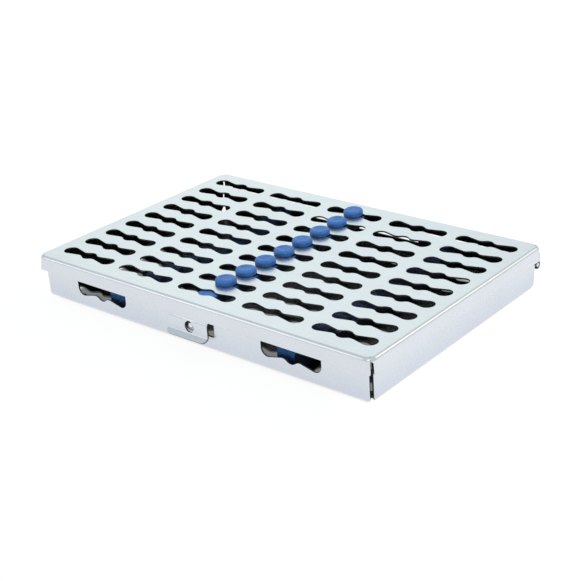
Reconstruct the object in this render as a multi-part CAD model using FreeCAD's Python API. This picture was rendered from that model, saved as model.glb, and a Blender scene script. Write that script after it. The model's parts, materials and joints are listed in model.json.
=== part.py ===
import FreeCAD, Part
import math
import os
from FreeCAD import Vector

# Instrument sterilization cassette: a shallow perforated tray with a hinged perforated lid, both folded
# from thin stainless sheet, silicone strips that hold the instruments, and a sprung latch at the front.
#
# The cassette is drawn around its steel box: X along the long side, Y from the front to the rear hinge,
# Z up, with z = 0 on the underside of the tray's floor. Each shape is then moved to the frame of the
# whole part, whose origin is the centre of the bottom of the part's box.

# ---- driving dimensions, in millimetres ----
LID_LENGTH = 185.0          # over the side flanges
LID_WIDTH = 125.0           # over the front and rear flanges
BOX_HEIGHT = 20.0           # underside of the tray's floor to the top of the lid
SHEET = 0.8

LID_FLANGE_DROP = 6.8       # depth of the lid's flanges, from the lid's top
LID_BEND_R = 1.5            # outside radius
LID_GAPS = (0.5, 1.7)       # the long flanges and the side flanges stop this far short of the corners
LID_RELIEF_R = 1.6
LID_RELIEF_INSET = 1.0
LID_RELIEF_DEPTH = 2.2

TRAY_LENGTH = 182.3
TRAY_FRONT_Y = -61.3        # outer face of the front wall
TRAY_WALL_TOP = 18.5
TRAY_BEND_R = 3.0
TRAY_FRONT_GAPS = (0.7, 2.0)    # the front wall and the side walls stop this far short of the front corners
TRAY_REAR_GAPS = (1.2, 0.2)     # and at the rear corners the side walls cover the ends of the rear wall
TRAY_RELIEF_R = 1.4
TRAY_RELIEF_INSET = 1.8
TRAY_REAR_CORNER_R = 7.0    # the side walls are rounded off at their rear lower corners

SLOT_COLUMNS = 5
SLOT_ROWS = 9
SLOT_PITCH_X = 35.65
SLOT_PITCH_Y = 12.7
SLOT_GRID_Y = 0.5           # the middle row is this far to the rear of the middle
SLOT_LOBE_X = 11.7          # centre of an end lobe, from the slot's centre
SLOT_LOBE_R = 3.35
SLOT_MIDDLE_R = 3.35
SLOT_NECK_X = 4.4
SLOT_NECK_HALF = 1.7

VENT_X = 53.0               # centre of each vent in the front wall
VENT_LOBE_X = 11.8
VENT_LOBE_R = 3.2
VENT_MIDDLE_R = 3.2
VENT_NECK_X = 4.3
VENT_NECK_HALF = 1.6
VENT_LOBE_Z = 9.5
VENT_TOP = 14.2
VENT_CORNER_R = 1.5

BARREL_R = 1.9
HINGE_Y = LID_WIDTH / 2 - BARREL_R      # the barrel is flush with the lid's rear flange
HINGE_Z = 11.1
PIN_R = 0.95
PIN_CLEARANCE = 0.05
HINGE_LENGTH = 183.2
KNUCKLES = 3
KNUCKLE_GAP = 0.5           # between the ends of neighbouring knuckles
LEAF_CLEARANCE = 0.4        # between a knuckle and the edge of the other sheet

TAB_WIDTH = 22.0
TAB_SHEET = 0.7
TAB_TOP = 13.1
TAB_PROUD = 0.6             # the tab's face stands this far in front of the lid's flange
TAB_STEP = 1.0              # height over which it steps out
TAB_FOLD_Z = 6.3
LIP_PROUD = 3.0             # furthest point of the lip, in front of the lid's flange
LIP_ANGLE = 55.0            # degrees from straight down
LIP_CORNER_R = 2.2
CATCH_X = 1.0
CATCH_Z = 9.25
CATCH_HOLE_R = 2.5

STUD_X = 0.5
STUD_HEAD_R = 1.7
STUD_HEAD_HEIGHT = 0.95
STUD_SHANK_R = 1.0
STUD_TAIL_R = 1.8
STUD_TAIL_HEIGHT = 0.5

WINDOW_LEFT_X = 9.3
WINDOW_RIGHT_X = 13.2
WINDOW_BOTTOM_Z = 6.8
WINDOW_TOP_Z = 14.2
WINDOW_CORNER_R = 0.8

STRIP_WIDTH = 9.4
STRIP_LENGTH = 115.0
STRIP_EDGE_R = 0.8
BASE_STRIP_HEIGHT = 9.5
LID_STRIP_HEIGHT = 4.5
NOTCHES = 10
NOTCH_PITCH = 11.4
NOTCH_R = 3.3
CREST_R = 2.6

BUTTON_ROWS = 8             # counted from the rear row of slots; the front row has none
BUTTON_FORWARD = 0.6        # the buttons sit this far in front of the middles of their slots
BUTTON_R = 4.6
BUTTON_HEIGHT = 3.0
BUTTON_FLAT_R = 2.7
BUTTON_RIM_DROP = 1.5       # height of the rounding around the button's top
BUTTON_STEM_R = 2.7
BUTTON_LIP_R = 0.5          # bevel around the button's underside
STEM_OVERLAP = 1.0          # the stem runs this far into its bar

THROUGH = 1.0               # cutters reach this far past the sheet that they cut
SAME = 0.01                 # two coordinates closer than this are the same

# ---- places that follow from them ----
LID_X = LID_LENGTH / 2
LID_Y = LID_WIDTH / 2
TRAY_X = TRAY_LENGTH / 2
TRAY_REAR_Y = HINGE_Y - BARREL_R + SHEET    # its inner face is tangent to the barrel
BORE_R = PIN_R + PIN_CLEARANCE
KNUCKLE_LENGTH = HINGE_LENGTH / KNUCKLES
REAR_ROW_Y = SLOT_PITCH_Y * (SLOT_ROWS - 1) / 2 + SLOT_GRID_Y
BUTTON_YS = [REAR_ROW_Y - BUTTON_FORWARD - row * SLOT_PITCH_Y for row in range(BUTTON_ROWS)]
BASE_STRIP_X = SLOT_PITCH_X + SLOT_LOBE_X   # over the outer lobes of the second and fourth columns
FRONT_MOST = LID_Y + LIP_PROUD
REAR_MOST = HINGE_Y + BARREL_R
TO_PART_FRAME = Vector(0, (FRONT_MOST - REAR_MOST) / 2, BUTTON_HEIGHT)

X_AXIS = Vector(1, 0, 0)
Y_AXIS = Vector(0, 1, 0)
Z_AXIS = Vector(0, 0, 1)
ORIGIN = Vector(0, 0, 0)
HALF_ROOT = math.sqrt(0.5)


def arc(start, middle, end):
    return Part.Arc(start, middle, end).toShape()


def line(start, end):
    return Part.makeLine(start, end)


def extrude(edges, direction):
    return Part.Face(Part.Wire(Part.__sortEdges__(edges))).extrude(direction)


def moved(shape, place):
    copy = shape.copy()
    copy.translate(place)
    return copy


def turned(shape, axis, degrees):
    copy = shape.copy()
    copy.rotate(ORIGIN, axis, degrees)
    return copy


# ---- folded sheet ----
def folded_wall(length, height, bend_r):
    """A wall folded up from a floor: it runs along X about x = 0, its outer face is at y = -bend_r,
    and the fold meets the flat floor at y = 0, with the floor's underside at z = 0."""
    inner_r = bend_r - SHEET
    x = -length / 2
    outer_foot = Vector(x, 0, 0)
    outer_bend = Vector(x, -bend_r * HALF_ROOT, bend_r - bend_r * HALF_ROOT)
    outer_rise = Vector(x, -bend_r, bend_r)
    outer_top = Vector(x, -bend_r, height)
    inner_top = Vector(x, -inner_r, height)
    inner_rise = Vector(x, -inner_r, bend_r)
    inner_bend = Vector(x, -inner_r * HALF_ROOT, bend_r - inner_r * HALF_ROOT)
    inner_foot = Vector(x, 0, SHEET)
    edges = [arc(outer_foot, outer_bend, outer_rise),
             line(outer_rise, outer_top),
             line(outer_top, inner_top),
             line(inner_top, inner_rise),
             arc(inner_rise, inner_bend, inner_foot),
             line(inner_foot, outer_foot)]
    return extrude(edges, Vector(length, 0, 0))


def mitred(length, height, bend_r, low_gap, high_gap):
    """A folded wall whose low and high ends are trimmed to the corner's diagonal, less a gap."""
    taper = bend_r + 2 * THROUGH
    low = THROUGH + length / 2 - low_gap
    high = THROUGH + length / 2 - high_gap
    near, far, bottom = -bend_r - THROUGH, THROUGH, -THROUGH
    points = [Vector(-low, near, bottom), Vector(high, near, bottom),
              Vector(high - taper, far, bottom), Vector(taper - low, far, bottom)]
    sides = [line(a, b) for a, b in zip(points, points[1:] + points[:1])]
    wedge = extrude(sides, Vector(0, 0, height + 2 * THROUGH))
    return folded_wall(length, height, bend_r).common(wedge)


def folded_pan(half_x, front_y, rear_y, height, rear_height, bend_r, front_gaps, rear_gaps):
    """A shallow pan: a floor with four folded walls and open, mitred corners. The gaps are those of the
    long wall and then of the side walls."""
    length_x = 2 * half_x
    length_y = rear_y - front_y
    mid_y = (front_y + rear_y) / 2
    floor = Part.makeBox(length_x - 2 * bend_r, length_y - 2 * bend_r, SHEET,
                         Vector(-half_x + bend_r, front_y + bend_r, 0))
    front_wall = mitred(length_x, height, bend_r, front_gaps[0], front_gaps[0])
    rear_wall = mitred(length_x, rear_height, bend_r, rear_gaps[0], rear_gaps[0])
    right_wall = mitred(length_y, height, bend_r, front_gaps[1], rear_gaps[1])
    left_wall = mitred(length_y, height, bend_r, rear_gaps[1], front_gaps[1])
    walls = [moved(front_wall, Vector(0, front_y + bend_r, 0)),
             moved(turned(rear_wall, Z_AXIS, 180), Vector(0, rear_y - bend_r, 0)),
             moved(turned(right_wall, Z_AXIS, 90), Vector(half_x - bend_r, mid_y, 0)),
             moved(turned(left_wall, Z_AXIS, -90), Vector(-half_x + bend_r, mid_y, 0))]
    return floor.multiFuse(walls)


def corner_reliefs(half_x, front_y, rear_y, radius, inset, bottom, height):
    """Round holes where the folds meet at the four corners."""
    return [Part.makeCylinder(radius, height, Vector(side * (half_x - inset), y, bottom))
            for side in (-1, 1) for y in (front_y + inset, rear_y - inset)]


# ---- the three-lobed perforations ----
def lobed_quarter(lobe_x, lobe_r, middle_r, neck_x, neck_half):
    """Where the pieces of the outline meet, in the quarter right of and above the centre: the end lobe's
    circle, a straight taper, the neck's fillet with its lowest point, and the middle lobe's circle."""
    fillet_r = (neck_x ** 2 + neck_half ** 2 - middle_r ** 2) / (2 * (middle_r - neck_half))
    fillet_y = neck_half + fillet_r
    reach = math.hypot(lobe_x - neck_x, fillet_y)
    touch = math.atan2(fillet_y, neck_x - lobe_x) - math.acos((lobe_r + fillet_r) / reach)
    waist = math.atan2(neck_x, fillet_y)
    return [(lobe_x + lobe_r * math.cos(touch), lobe_r * math.sin(touch)),
            (neck_x - fillet_r * math.cos(touch), fillet_y - fillet_r * math.sin(touch)),
            (neck_x, neck_half),
            (middle_r * math.sin(waist), middle_r * math.cos(waist))]


def slot_cutter(thickness):
    """Two end lobes whose sides taper in to a neck on each side of a smaller middle lobe."""
    quarter = lobed_quarter(SLOT_LOBE_X, SLOT_LOBE_R, SLOT_MIDDLE_R, SLOT_NECK_X, SLOT_NECK_HALF)
    end = SLOT_LOBE_X + SLOT_LOBE_R
    edges = []
    for sx in (-1, 1):
        for sy in (-1, 1):
            touch, foot, neck, waist = [Vector(sx * x, sy * y, 0) for x, y in quarter]
            edges.append(line(touch, foot))
            edges.append(arc(foot, neck, waist))
        x, y = quarter[0]
        edges.append(arc(Vector(sx * x, y, 0), Vector(sx * end, 0, 0), Vector(sx * x, -y, 0)))
    x, y = quarter[-1]
    for sy in (-1, 1):
        edges.append(arc(Vector(-x, sy * y, 0), Vector(0, sy * SLOT_MIDDLE_R, 0), Vector(x, sy * y, 0)))
    return extrude(edges, Vector(0, 0, thickness))


def slot_grid(sheet_bottom):
    """Cutters for every slot of a sheet that lies on the given height."""
    cutter = slot_cutter(SHEET + 2 * THROUGH)
    return [moved(cutter, Vector((column - (SLOT_COLUMNS - 1) / 2) * SLOT_PITCH_X,
                                 REAR_ROW_Y - row * SLOT_PITCH_Y,
                                 sheet_bottom - THROUGH))
            for column in range(SLOT_COLUMNS) for row in range(SLOT_ROWS)]


def vent_cutter():
    """The vent in the front wall: straight on top, with three lobes along its lower edge."""
    y = TRAY_FRONT_Y - THROUGH
    quarter = lobed_quarter(VENT_LOBE_X, VENT_LOBE_R, VENT_MIDDLE_R, VENT_NECK_X, VENT_NECK_HALF)
    end = VENT_LOBE_X + VENT_LOBE_R
    corner = VENT_CORNER_R
    chamfer = corner * (1 - HALF_ROOT)
    diagonal = VENT_LOBE_R * HALF_ROOT
    x, drop = quarter[-1]
    edges = [line(Vector(-end + corner, y, VENT_TOP), Vector(end - corner, y, VENT_TOP)),
             arc(Vector(-x, y, VENT_LOBE_Z - drop), Vector(0, y, VENT_LOBE_Z - VENT_MIDDLE_R),
                 Vector(x, y, VENT_LOBE_Z - drop))]
    for side in (-1, 1):
        touch, foot, neck, waist = [Vector(side * x, y, VENT_LOBE_Z - drop) for x, drop in quarter]
        shoulder = Vector(side * end, y, VENT_TOP - corner)
        tip = Vector(side * end, y, VENT_LOBE_Z)
        edges.append(arc(Vector(side * (end - corner), y, VENT_TOP),
                         Vector(side * (end - chamfer), y, VENT_TOP - chamfer),
                         shoulder))
        edges.append(line(shoulder, tip))
        edges.append(arc(tip, Vector(side * (VENT_LOBE_X + diagonal), y, VENT_LOBE_Z - diagonal), touch))
        edges.append(line(touch, foot))
        edges.append(arc(foot, neck, waist))
    return extrude(edges, Vector(0, SHEET + 2 * THROUGH, 0))


def window_cutter():
    """The upright window beside the latch, with rounded corners."""
    box = Part.makeBox(WINDOW_RIGHT_X - WINDOW_LEFT_X, SHEET + 2 * THROUGH, WINDOW_TOP_Z - WINDOW_BOTTOM_Z,
                       Vector(WINDOW_LEFT_X, TRAY_FRONT_Y - THROUGH, WINDOW_BOTTOM_Z))
    along_y = [edge for edge in box.Edges
               if abs(edge.Vertexes[0].Y - edge.Vertexes[1].Y) > SHEET]
    return box.makeFillet(WINDOW_CORNER_R, along_y)


# ---- hinge ----
def knuckle_ends(index):
    start = -HINGE_LENGTH / 2 + index * KNUCKLE_LENGTH
    low = start + (KNUCKLE_GAP / 2 if index > 0 else 0)
    high = start + KNUCKLE_LENGTH - (KNUCKLE_GAP / 2 if index < KNUCKLES - 1 else 0)
    return low, high


def on_lid(index):
    return index % 2 == 1


def barrel(index):
    low, high = knuckle_ends(index)
    return Part.makeCylinder(BARREL_R, high - low, Vector(low, HINGE_Y, HINGE_Z), X_AXIS)


def hinge_bore():
    length = HINGE_LENGTH + 2 * THROUGH
    return Part.makeCylinder(BORE_R, length, Vector(-length / 2, HINGE_Y, HINGE_Z), X_AXIS)


def hinge_pin():
    return Part.makeCylinder(PIN_R, HINGE_LENGTH, Vector(-HINGE_LENGTH / 2, HINGE_Y, HINGE_Z), X_AXIS)


# ---- tray ----
def tray_rear_notches():
    """Cut the rear wall down below the knuckles that belong to the lid."""
    low_edge = HINGE_Z - BARREL_R - LEAF_CLEARANCE
    cuts = []
    for index in range(KNUCKLES):
        if on_lid(index):
            low, high = knuckle_ends(index)
            cuts.append(Part.makeBox(high - low + 2 * KNUCKLE_GAP,
                                     SHEET + 2 * THROUGH,
                                     HINGE_Z - low_edge + THROUGH,
                                     Vector(low - KNUCKLE_GAP, TRAY_REAR_Y - SHEET - THROUGH, low_edge)))
    return cuts


def rear_corner_cutter(side):
    """Rounds off the rear lower corner of a side wall."""
    radius = TRAY_REAR_CORNER_R
    width = 2 * (TRAY_BEND_R + THROUGH)
    y = TRAY_REAR_Y
    block = Part.makeBox(width, radius, radius, Vector(-width / 2, y - radius, 0))
    round_off = Part.makeCylinder(radius, width, Vector(-width / 2, y - radius, radius), X_AXIS)
    return moved(block.cut(round_off), Vector(side * TRAY_X, 0, 0))


def base_tray():
    pan = folded_pan(TRAY_X, TRAY_FRONT_Y, TRAY_REAR_Y, TRAY_WALL_TOP, HINGE_Z, TRAY_BEND_R,
                     TRAY_FRONT_GAPS, TRAY_REAR_GAPS)
    knuckles = [barrel(index) for index in range(KNUCKLES) if not on_lid(index)]
    pan = pan.cut(tray_rear_notches()).multiFuse(knuckles)
    vent = vent_cutter()
    rivet_hole = Part.makeCylinder(STUD_SHANK_R, SHEET + 2 * THROUGH,
                                   Vector(STUD_X, TRAY_FRONT_Y - THROUGH, CATCH_Z), Y_AXIS)
    cuts = slot_grid(0)
    cuts += corner_reliefs(TRAY_X, TRAY_FRONT_Y, TRAY_REAR_Y, TRAY_RELIEF_R, TRAY_RELIEF_INSET,
                           -THROUGH, TRAY_BEND_R + THROUGH)
    cuts += [rear_corner_cutter(-1), rear_corner_cutter(1)]
    cuts += [moved(vent, Vector(-VENT_X, 0, 0)), moved(vent, Vector(VENT_X, 0, 0))]
    cuts += [window_cutter(), hinge_bore(), rivet_hole]
    return pan.cut(cuts).removeSplitter()


def latch_stud():
    """A domed rivet through the front wall, behind the latch's hole."""
    inside = SHEET + STUD_TAIL_HEIGHT
    dome_r = (STUD_HEAD_R ** 2 + STUD_HEAD_HEIGHT ** 2) / (2 * STUD_HEAD_HEIGHT)
    lean = math.asin(STUD_HEAD_R / dome_r) / 2
    crown = Vector(0, 0, -STUD_HEAD_HEIGHT)
    dome = Vector(dome_r * math.sin(lean), 0, dome_r - STUD_HEAD_HEIGHT - dome_r * math.cos(lean))
    shoulder = Vector(STUD_HEAD_R, 0, 0)
    rest = [shoulder,
            Vector(STUD_SHANK_R, 0, 0),
            Vector(STUD_SHANK_R, 0, SHEET),
            Vector(STUD_TAIL_R, 0, SHEET),
            Vector(STUD_TAIL_R, 0, inside),
            Vector(0, 0, inside),
            crown]
    outline = [arc(crown, dome, shoulder)] + [line(a, b) for a, b in zip(rest, rest[1:])]
    stud = Part.Face(Part.Wire(Part.__sortEdges__(outline))).revolve(ORIGIN, Z_AXIS, 360)
    return moved(turned(stud, X_AXIS, -90), Vector(STUD_X, TRAY_FRONT_Y, CATCH_Z))


# ---- lid ----
def lid_cover():
    pan = folded_pan(LID_X, -LID_Y, LID_Y, LID_FLANGE_DROP, LID_FLANGE_DROP, LID_BEND_R,
                     LID_GAPS, LID_GAPS)
    lid = moved(turned(pan, X_AXIS, 180), Vector(0, 0, BOX_HEIGHT))
    leaf_top = BOX_HEIGHT - LID_FLANGE_DROP + SHEET
    parts = []
    for index in range(KNUCKLES):
        if on_lid(index):
            low, high = knuckle_ends(index)
            leaf = Part.makeBox(high - low, SHEET, leaf_top - HINGE_Z, Vector(low, LID_Y - SHEET, HINGE_Z))
            parts += [barrel(index), leaf]
    lid = lid.multiFuse(parts)
    cuts = slot_grid(BOX_HEIGHT - SHEET)
    cuts += corner_reliefs(LID_X, -LID_Y, LID_Y, LID_RELIEF_R, LID_RELIEF_INSET,
                           BOX_HEIGHT - LID_RELIEF_DEPTH, LID_RELIEF_DEPTH + THROUGH)
    cuts.append(hinge_bore())
    return lid.cut(cuts).removeSplitter()


def latch_tab():
    """A sprung tongue that steps out from the flange, drops past the catch hole and ends in a bent lip."""
    flange_y = -LID_Y
    face_y = flange_y - TAB_PROUD
    back_y = face_y + TAB_SHEET
    angle = math.radians(LIP_ANGLE)
    lip_length = (LIP_PROUD - TAB_PROUD) / math.sin(angle)
    step_z = TAB_TOP - TAB_STEP
    lip_out = Vector(0, face_y - lip_length * math.sin(angle), TAB_FOLD_Z - lip_length * math.cos(angle))
    lip_in = lip_out + Vector(0, TAB_SHEET * math.cos(angle), -TAB_SHEET * math.sin(angle))
    profile = [Vector(0, flange_y, TAB_TOP),
               Vector(0, face_y, step_z),
               Vector(0, face_y, TAB_FOLD_Z),
               lip_out,
               lip_in,
               Vector(0, back_y, TAB_FOLD_Z - TAB_SHEET * math.tan(angle / 2)),
               Vector(0, back_y, step_z),
               Vector(0, flange_y + TAB_SHEET, TAB_TOP)]
    sides = [line(a, b) for a, b in zip(profile, profile[1:] + profile[:1])]
    tab = moved(extrude(sides, Vector(TAB_WIDTH, 0, 0)), Vector(-TAB_WIDTH / 2, 0, 0))
    lip_corners = [edge for edge in tab.Edges
                   if all(vertex.Y < face_y - LIP_PROUD / 3 for vertex in edge.Vertexes)
                   and abs(edge.Vertexes[0].X - edge.Vertexes[1].X) < SAME]
    tab = tab.makeFillet(LIP_CORNER_R, lip_corners)
    return tab.cut(Part.makeCylinder(CATCH_HOLE_R, TAB_SHEET + 2 * THROUGH,
                                     Vector(CATCH_X, face_y - THROUGH, CATCH_Z), Y_AXIS))


# ---- silicone strips ----
def button(stem_length):
    """A mushroom button on top of z = 0, with a stem of the given length below it."""
    reach = BUTTON_R - BUTTON_FLAT_R
    rim_r = (reach ** 2 + BUTTON_RIM_DROP ** 2) / (2 * BUTTON_RIM_DROP)
    lean = math.asin(reach / rim_r) / 2
    shoulder = Vector(BUTTON_R, 0, BUTTON_HEIGHT - BUTTON_RIM_DROP)
    middle = Vector(BUTTON_FLAT_R + rim_r * math.sin(lean), 0, BUTTON_HEIGHT - rim_r * (1 - math.cos(lean)))
    rim = Vector(BUTTON_FLAT_R, 0, BUTTON_HEIGHT)
    rest = [rim,
            Vector(0, 0, BUTTON_HEIGHT),
            Vector(0, 0, -stem_length),
            Vector(BUTTON_STEM_R, 0, -stem_length),
            Vector(BUTTON_STEM_R, 0, 0),
            Vector(BUTTON_R - BUTTON_LIP_R, 0, 0),
            Vector(BUTTON_R, 0, BUTTON_LIP_R),
            shoulder]
    outline = [arc(shoulder, middle, rim)] + [line(a, b) for a, b in zip(rest, rest[1:])]
    return Part.Face(Part.Wire(Part.__sortEdges__(outline))).revolve(ORIGIN, Z_AXIS, 360)


def plain_bar(height):
    """A straight bar on top of z = 0, rounded along its two upper long edges."""
    bar = Part.makeBox(STRIP_WIDTH, STRIP_LENGTH, height, Vector(-STRIP_WIDTH / 2, -STRIP_LENGTH / 2, 0))
    upper = [edge for edge in bar.Edges
             if all(vertex.Z > height - SAME for vertex in edge.Vertexes)
             and abs(edge.Vertexes[0].Y - edge.Vertexes[1].Y) > STRIP_WIDTH]
    return bar.makeFillet(STRIP_EDGE_R, upper)


def notched_bar():
    """A bar whose top is a row of rounded crests and notches; each notch holds one instrument."""
    x = -STRIP_WIDTH / 2
    top = BASE_STRIP_HEIGHT
    half_pitch = NOTCH_PITCH / 2
    crest_z = top - CREST_R
    notch_z = crest_z + math.sqrt((CREST_R + NOTCH_R) ** 2 - half_pitch ** 2)
    lean = math.asin((notch_z - crest_z) / (CREST_R + NOTCH_R))
    touch_y = CREST_R * math.cos(lean)
    touch_z = crest_z + CREST_R * math.sin(lean)
    reach = half_pitch - touch_y
    last_crest = NOTCHES / 2 * NOTCH_PITCH
    end_y = STRIP_LENGTH / 2
    edges = [line(Vector(x, -end_y, 0), Vector(x, end_y, 0))]
    for index in range(NOTCHES):
        y = (index + 0.5) * NOTCH_PITCH - last_crest
        edges.append(arc(Vector(x, y - reach, touch_z),
                         Vector(x, y, notch_z - NOTCH_R),
                         Vector(x, y + reach, touch_z)))
    for index in range(1, NOTCHES):
        y = index * NOTCH_PITCH - last_crest
        edges.append(arc(Vector(x, y - touch_y, touch_z), Vector(x, y, top), Vector(x, y + touch_y, touch_z)))
    for side in (-1, 1):
        y = side * last_crest
        half_turned = (math.pi / 2 - lean) / 2
        edges.append(arc(Vector(x, y - side * touch_y, touch_z),
                         Vector(x, y - side * CREST_R * math.sin(half_turned),
                                crest_z + CREST_R * math.cos(half_turned)),
                         Vector(x, y, top)))
        edges.append(line(Vector(x, y, top), Vector(x, side * end_y, top)))
        edges.append(line(Vector(x, side * end_y, top), Vector(x, side * end_y, 0)))
    return extrude(edges, Vector(STRIP_WIDTH, 0, 0))


def with_buttons(bar):
    """Add the row of buttons below a bar that stands on z = 0, through the sheet under it."""
    peg = moved(turned(button(SHEET + STEM_OVERLAP), X_AXIS, 180), Vector(0, 0, -SHEET))
    return bar.multiFuse([moved(peg, Vector(0, y, 0)) for y in BUTTON_YS]).removeSplitter()


def base_strip(side):
    """Stands on the tray's floor; its buttons come through the slots' outer lobes and are the feet."""
    return moved(with_buttons(notched_bar()), Vector(side * BASE_STRIP_X, 0, SHEET))


def lid_strip():
    """Hangs under the lid; its buttons come up through the middle lobes."""
    strip = with_buttons(plain_bar(LID_STRIP_HEIGHT))
    return moved(turned(strip, Y_AXIS, 180), Vector(0, 0, BOX_HEIGHT - SHEET))


NODES = {
    "base_tray": base_tray(),
    "latch_stud": latch_stud(),
    "base_strip_left": base_strip(-1),
    "base_strip_right": base_strip(1),
    "hinge_pin": hinge_pin(),
    "lid_cover": lid_cover(),
    "lid_strip": lid_strip(),
    "latch_tab": latch_tab(),
}

os.makedirs("parts", exist_ok=True)
for name, shape in NODES.items():
    placed = moved(shape, TO_PART_FRAME)
    solid = placed.Solids[0]
    box = solid.BoundBox
    print(name, "solids", len(placed.Solids), "valid", solid.isValid(), "volume", round(solid.Volume, 1),
          "x", round(box.XMin, 2), round(box.XMax, 2), "y", round(box.YMin, 2), round(box.YMax, 2),
          "z", round(box.ZMin, 2), round(box.ZMax, 2))
    solid.exportStep("parts/" + name + ".step")
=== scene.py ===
import json
import math

import bmesh
import bpy
from mathutils import Matrix, Vector


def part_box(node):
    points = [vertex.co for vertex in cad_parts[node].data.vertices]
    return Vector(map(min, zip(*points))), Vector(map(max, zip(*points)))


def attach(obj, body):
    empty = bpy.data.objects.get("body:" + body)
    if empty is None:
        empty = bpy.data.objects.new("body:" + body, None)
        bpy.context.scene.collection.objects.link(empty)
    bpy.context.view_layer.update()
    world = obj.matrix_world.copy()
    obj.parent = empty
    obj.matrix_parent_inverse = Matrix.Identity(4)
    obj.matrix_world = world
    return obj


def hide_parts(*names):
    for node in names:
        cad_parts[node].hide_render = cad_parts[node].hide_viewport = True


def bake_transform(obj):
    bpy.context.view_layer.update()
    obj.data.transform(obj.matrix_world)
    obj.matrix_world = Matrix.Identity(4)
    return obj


# Instrument sterilization cassette. Each steel sheet is cut as a flat blank with its perforations and then
# folded along its bend lines; the silicone strips, the rivet and the pin are built in their CAD boxes.
# Lengths are in millimetres around the steel box: X along the long side, Y from the front to the rear
# hinge, z = 0 on the underside of the tray's floor. SHIFT carries them to the frame of the CAD part.

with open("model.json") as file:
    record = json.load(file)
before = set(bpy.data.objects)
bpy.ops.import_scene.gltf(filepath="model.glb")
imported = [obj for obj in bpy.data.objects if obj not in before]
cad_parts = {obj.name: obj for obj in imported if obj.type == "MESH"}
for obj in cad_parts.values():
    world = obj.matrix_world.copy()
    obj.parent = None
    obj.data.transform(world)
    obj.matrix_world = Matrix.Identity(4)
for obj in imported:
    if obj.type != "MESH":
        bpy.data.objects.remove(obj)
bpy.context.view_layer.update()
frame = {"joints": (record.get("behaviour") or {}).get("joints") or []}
MM = 0.001


def box_mm(node):
    low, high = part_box(node)
    return low / MM, high / MM


def joint_mm(name):
    return Vector(next(joint["pos_m"] for joint in frame["joints"] if joint["name"] == name)) / MM


LID_LOW, LID_HIGH = box_mm("lid_cover")
TRAY_LOW, TRAY_HIGH = box_mm("base_tray")
PIN_LOW, PIN_HIGH = box_mm("hinge_pin")
TAB_HIGH = box_mm("latch_tab")[1]
STRIP_LOW, STRIP_HIGH = box_mm("base_strip_right")
LID_STRIP_LOW = box_mm("lid_strip")[0]

# ---- dimensions, in millimetres ----
SHEET = 0.8
CUT_EDGE = 0.1              # rounding of the cut edges of the sheet
WELD = 0.002                # points of a cut plate that are closer than this become one
ON_PLANE = 0.0001           # points closer than this to a cutting plane lie on it
BEND_STEP = 13              # degrees between the edges across a bend

LID_WIDTH = 125.0
LID_X = LID_HIGH.x
LID_Y = LID_WIDTH / 2
SHIFT = Vector((0.0, LID_LOW.y + LID_Y, TRAY_LOW.z))
BOX_HEIGHT = LID_HIGH.z - SHIFT.z
LID_BEND_R = 1.5            # outside radius
LID_MID_R = LID_BEND_R - SHEET / 2
LID_FLANGE_Z = 13.2         # lower edge of the lid's flanges
LID_LONG_GAP = 0.5          # the front and rear flanges stop this far short of the corners
LID_SHORT_GAP = 1.7         # and the side flanges this far
LID_MITRE_GAP = 0.12        # the folds nearly meet at the corner above that gap
LID_GAP_RUN = 0.7           # the gap opens over this length below the fold
FLANGE_CORNER_R = 0.9
LID_CORNER_TOP_R = 4.5      # the corners are rounded off in plan, most of all in the lid's top
LID_CORNER_LOW_R = 2.0

TRAY_X = 91.15              # half its length; its CAD box also holds the ends of the barrel
TRAY_FRONT = TRAY_LOW.y - SHIFT.y
TRAY_WALL_TOP = TRAY_HIGH.z - SHIFT.z
TRAY_BEND_R = 3.0
TRAY_MID_R = TRAY_BEND_R - SHEET / 2
TRAY_FRONT_GAPS = (0.7, 2.0)    # the front wall and then the side walls stop this far short of the corner
TRAY_REAR_GAPS = (1.2, 0.2)     # the rear wall, and the side walls, which cover its ends
TRAY_CORNER_R = 4.5         # the front corners are rounded off in plan
TRAY_TOP_CORNER_R = 1.2
TRAY_REAR_CORNER_R = 7.0    # the side walls are rounded off at their rear lower corners
RELIEF_R = 1.7              # the round hole in the blank where two folds meet
RELIEF_INSET = 0.2
FRONT_RELIEF_ARC = (249, 21)
REAR_RELIEF_ARC = (-60, -249)

COLUMNS = 5
ROWS = 9
PITCH_X = 35.65
PITCH_Y = 12.7
GRID_Y = 0.5                # the middle row of slots is this far to the rear of the middle
DISH = 1.7                  # the thin lid is dished down by this much in its middle
# the three-lobed outline of the slots, and that of the scalloped lower edges of the vents
SLOT = {"lobe_x": 11.7, "lobe_r": 3.35, "middle_r": 3.35, "neck_x": 4.4, "neck_half": 1.7}
VENT = {"lobe_x": 11.8, "lobe_r": 3.2, "middle_r": 3.2, "neck_x": 4.3, "neck_half": 1.6}
VENT_X = 53.0
VENT_LOBE_Z = 9.5           # height of the middles of its lobes
VENT_TOP = 14.2
VENT_CORNER_R = 1.5

WINDOW_LEFT, WINDOW_RIGHT = 9.3, 13.2
WINDOW_LOW, WINDOW_HIGH = 6.8, 14.2
WINDOW_CORNER_R = 0.8

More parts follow.
